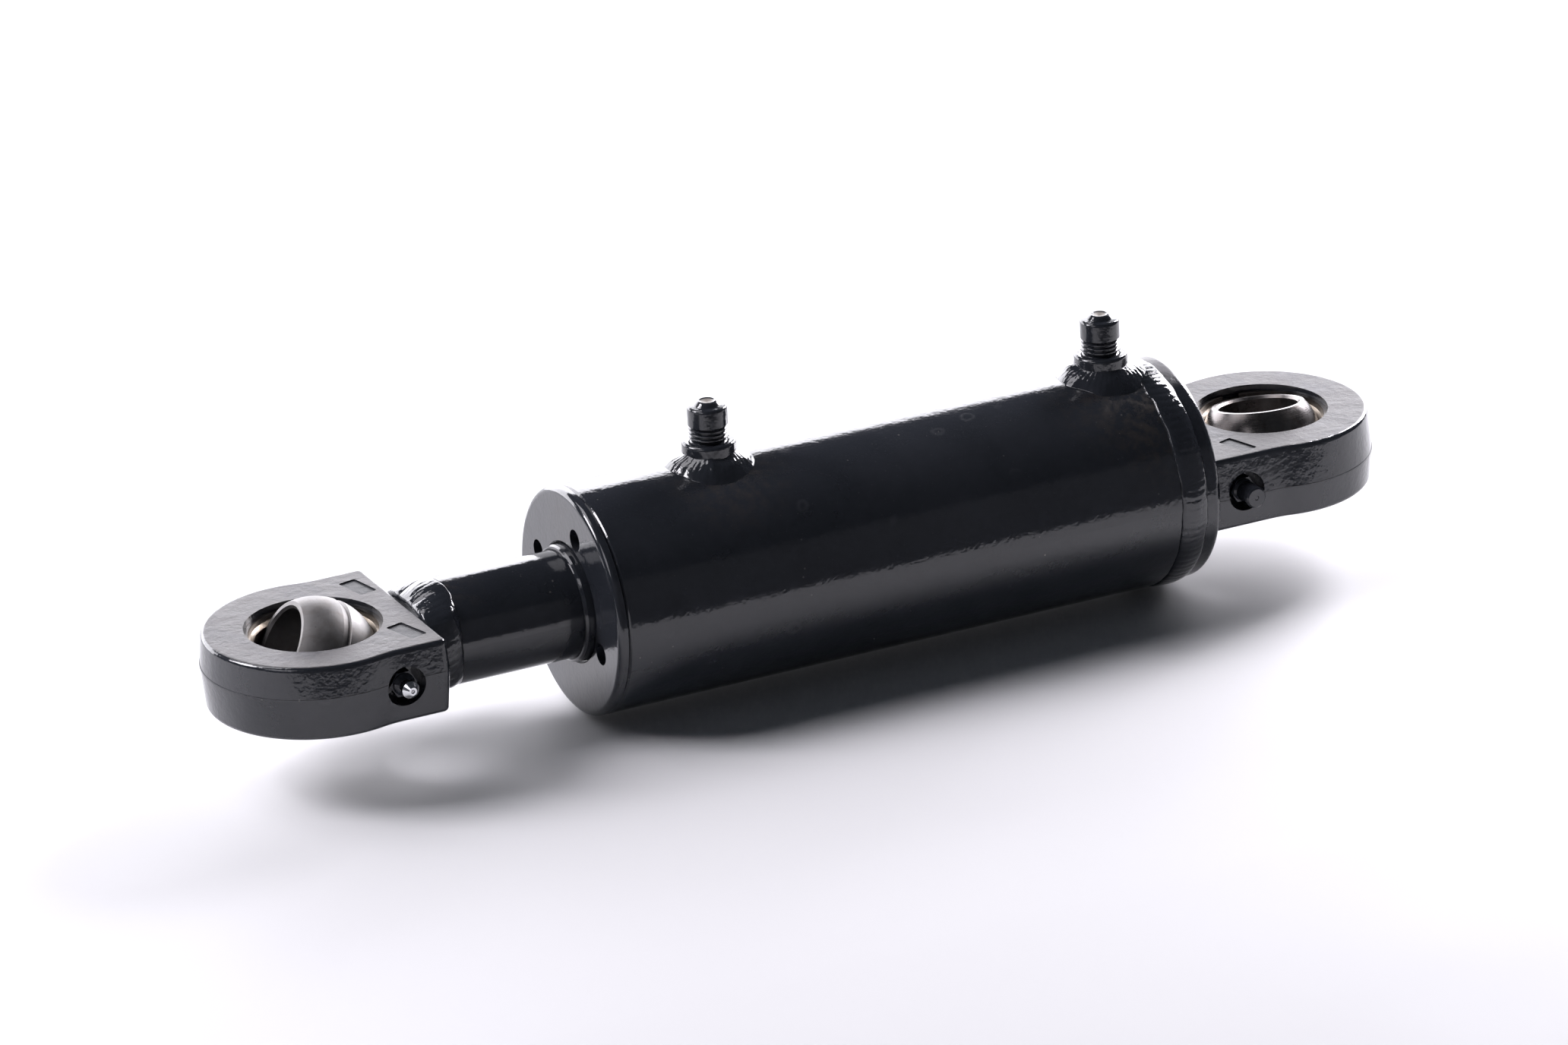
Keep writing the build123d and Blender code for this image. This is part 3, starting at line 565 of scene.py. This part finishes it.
def rod_eye_bead():
    nu, nv = 480, 26
    t = np.linspace(0, 2 * np.pi, nu, endpoint=False)   # from +Y towards +Z
    cy = np.abs(np.cos(t))
    side = np.clip((cy - 0.35) / 0.5, 0, 1)
    end_r = 15.6 + 5.6 * side ** 0.9 + smooth_noise(nu, 12, 0.5, 21)
    toe_x = (337.6 + smooth_noise(nu, 9, 1.3, 22)
             + smooth_noise(nu, 30, 0.25, 23))
    belly = 0.35 + 1.1 * side
    field = lumps(nu, nv, 40, 1.0, 24)
    end_x = 350.75
    pts = np.zeros((nu, nv + 2, 3))
    for k in range(nv):
        s = k / (nv - 1)
        x = toe_x + (end_x - toe_x) * s
        r = 20.02 + (end_r - 20.02) * s ** 1.35
        r = r + belly * np.sin(np.pi * s) ** 0.8
        bump = field[:, k] * np.sin(np.pi * s) ** 0.6 if 0 < s < 1 else 0
        rip = 0.10 * np.abs(np.sin(t * 24 + 2.5 * s)) * np.sin(np.pi * s)
        r = r + np.asarray(bump) * (0.45 + 0.55 * side) + rip
        if k == 0:
            r = np.full(nu, 19.9)
        pts[:, k, 0] = x
        pts[:, k, 1] = r * np.cos(t)
        pts[:, k, 2] = r * np.sin(t)
    pts[:, nv, 0] = end_x
    pts[:, nv, 1] = 11.3 * np.cos(t)
    pts[:, nv, 2] = 11.3 * np.sin(t)
    pts[:, nv + 1, 0] = toe_x + 0.6
    pts[:, nv + 1, 1] = 19.3 * np.cos(t)
    pts[:, nv + 1, 2] = 19.3 * np.sin(t)
    return grid_mesh("rod_eye_weld_bead", pts, "rod", M_WELD,
                     ("rod_eye_weld",))


end_cap_bead()
port_bead("head_port_weld_bead", 228.5, 40, "head_port_weld")
port_bead("base_port_weld_bead", 67.3, 60, "base_port_weld")
rod_eye_bead()


# ------------------------------------------------------------------ the floor
FLOOR_Z = -0.0437


def floor_mat():
    m = Mat("studio_floor")
    big = m.noise(0.9, 3, 0.5)
    col = m.mix(m.ramp(big, [(0.3, 0), (0.7, 1)]), (0.86, 0.855, 0.87),
                (0.89, 0.887, 0.895))
    r = m.ramp(m.noise(6, 3), [(0.3, 0.55), (0.7, 0.65)])
    n = m.bump(m.noise(180, 3, 0.6), 0.0003, 0.15)
    m.link(col, m.b.inputs["Base Color"])
    m.link(r, m.b.inputs["Roughness"])
    m.link(n, m.b.inputs["Normal"])
    m.b.inputs["Specular IOR Level"].default_value = 0.2
    return m.mat


def make_floor():
    n = 24
    xs = np.linspace(-1, 1, n)
    g = np.sign(xs) * np.abs(xs) ** 2.2 * 9.0
    verts = [(x + 0.2, y, FLOOR_Z) for y in g for x in g]
    faces = [(j * n + i, j * n + i + 1, (j + 1) * n + i + 1, (j + 1) * n + i)
             for j in range(n - 1) for i in range(n - 1)]
    me = bpy.data.meshes.new("studio_floor")
    me.from_pydata(verts, [], faces)
    me.materials.append(floor_mat())
    ob = bpy.data.objects.new("studio_floor", me)
    bpy.context.scene.collection.objects.link(ob)
    return ob


make_floor()


# ------------------------------------------------------------------ light
def area(name, loc, target, size, radiance, color=(1, 1, 1), shape="RECTANGLE",
         gloss_only=False):
    d = bpy.data.lights.new(name, "AREA")
    d.shape = shape
    d.size, d.size_y = size
    d.color = color
    a = size[0] * size[1] * (math.pi / 4 if shape == "ELLIPSE" else 1)
    d.energy = radiance * a * math.pi
    o = bpy.data.objects.new(name, d)
    o.location = loc
    v = Vector(target) - Vector(loc)
    o.rotation_mode = "QUATERNION"
    o.rotation_quaternion = v.to_track_quat("-Z", "Y")
    o.visible_camera = False
    o.visible_diffuse = not gloss_only
    bpy.context.scene.collection.objects.link(o)
    return o


WHITE = (0.965, 0.945, 1.0)
# small softboxes left and right behind the part, a large one high behind it
area("left_softbox", (1.14, -0.34, 0.80), (0.30, 0.0, 0.0), (0.46, 0.46), 16.5,
     WHITE)
area("right_softbox", (-0.76, -0.46, 0.50), (0.05, 0.0, 0.0), (0.42, 0.62), 23.0,
     WHITE)
area("top_softbox", (0.95, -0.75, 1.75), (0.2, 0.0, 0.0), (0.95, 0.95), 3.6,
     WHITE)
# tall white panel behind: its top edge gives the sharp line on the barrel
area("back_panel", (-0.5, -1.45, 0.43), (-0.5, 0.0, 0.43), (4.2, 0.98), 2.4,
     (0.955, 0.945, 1.0))
area("back_gloss", (-0.5, -1.47, 0.45), (-0.5, 0.0, 0.45), (4.2, 1.05), 3.7,
     (0.955, 0.945, 1.0), gloss_only=True)
# weak fill from the front left, in reflections only
area("front_fill", (1.30, 0.50, 0.90), (0.25, 0.0, 0.0), (0.60, 0.60), 2.2,
     WHITE, gloss_only=True)


def dark_card():
    """A dark card in front, seen only in reflections: a painted dark reflection of
    the floor in front, standing in for the unlit room beyond the table.
    """
    m = Mat("dark_card")
    m.link(m.mix(m.noise(3, 2), (0.012, 0.013, 0.016), (0.022, 0.024, 0.028)),
           m.b.inputs["Base Color"])
    m.set(Roughness=0.9)
    n = 40
    verts, faces = [], []
    for k in range(n + 1):
        x = -1.6 + 3.6 * k / n
        y = 0.240 + 0.002 * math.sin(7 * x)
        verts += [(x, y, FLOOR_Z), (x, y + 0.02, FLOOR_Z + 0.12),
                  (x, y + 0.10, FLOOR_Z + 0.26)]
    for k in range(n):
        for q in (0, 1):
            a, b = 3 * k + q, 3 * (k + 1) + q
            faces.append((a, b, b + 1, a + 1))
    me = bpy.data.meshes.new("dark_card")
    me.from_pydata(verts, [], faces)
    me.materials.append(m.mat)
    ob = bpy.data.objects.new("dark_card", me)
    bpy.context.scene.collection.objects.link(ob)
    ob.visible_camera = False
    ob.visible_diffuse = False
    ob.visible_shadow = False
    return ob


dark_card()

world = bpy.data.worlds.new("studio")
bpy.context.scene.world = world
world.use_nodes = True
wt = world.node_tree
wt.nodes.clear()
wo = wt.nodes.new("ShaderNodeOutputWorld")
bg1 = wt.nodes.new("ShaderNodeBackground")
bg2 = wt.nodes.new("ShaderNodeBackground")
bg1.inputs[0].default_value = (0.030, 0.034, 0.040, 1)
bg2.inputs[0].default_value = (0.93, 0.93, 0.94, 1)
mx = wt.nodes.new("ShaderNodeMixShader")
lp = wt.nodes.new("ShaderNodeLightPath")
wt.links.new(lp.outputs["Is Camera Ray"], mx.inputs[0])
wt.links.new(bg1.outputs[0], mx.inputs[1])
wt.links.new(bg2.outputs[0], mx.inputs[2])
wt.links.new(mx.outputs[0], wo.inputs[0])

# ------------------------------------------------------------------ camera
cam_data = bpy.data.cameras.new("camera")
cam = bpy.data.objects.new("camera", cam_data)
bpy.context.scene.collection.objects.link(cam)
bpy.context.scene.camera = cam
cam_data.sensor_width = 36.0
cam_data.lens = 186.72
cam_data.clip_start, cam_data.clip_end = 0.1, 60.0
R = Vector((-0.89473938, 0.44460435, -0.04205253))
U = Vector((-0.20394041, -0.32300669, 0.92416177))
B = Vector((0.39730309, 0.83546014, 0.3796796))
rot = Matrix((R, U, B)).transposed()
cam.rotation_mode = "QUATERNION"
cam.location = (1.37911703, 2.47986157, 1.13881193)
cam.rotation_quaternion = rot.to_quaternion()

bpy.context.scene.view_settings.view_transform = "Standard"
bpy.context.scene.view_settings.look = "None"
